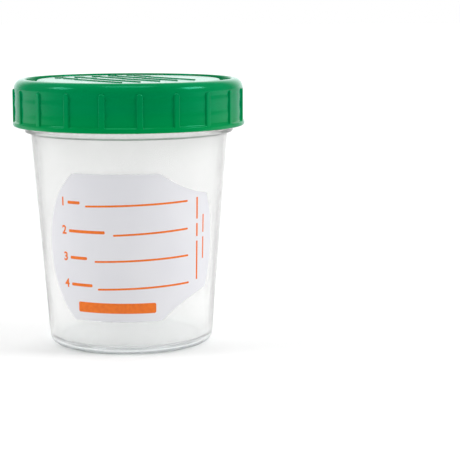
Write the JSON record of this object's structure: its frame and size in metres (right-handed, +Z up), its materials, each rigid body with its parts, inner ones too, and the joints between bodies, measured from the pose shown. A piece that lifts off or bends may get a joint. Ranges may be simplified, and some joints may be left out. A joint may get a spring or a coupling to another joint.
{
  "type": "specimen container",
  "caption": "Screw-capped specimen cup: tapered translucent cup on a foot ring, ribbed green lid with a plug seal and writing disc, and a die-cut write-on label.",
  "frame": {"origin": "centre of the foot ring, on the plane the cup stands on", "axes": "+Z up the cup's axis to the lid; the label faces -Y; +X to the right as the label is read"},
  "size_m": [0.066, 0.066, 0.0758],
  "materials": {
    "clear_plastic": "natural translucent polypropylene, smooth",
    "green_plastic": "green polypropylene, glossy as moulded",
    "label_paper": "pale grey coated label stock, orange print"
  },
  "bodies": {
    "cup": {"cup": "clear_plastic", "label": "label_paper"},
    "lid": {"lid": "green_plastic"}
  },
  "joints": [
    {"name": "lid_lift", "type": "slide", "parent": "cup", "child": "lid", "axis": [0, 0, 1], "range_m": [0, 0.03]}
  ]
}
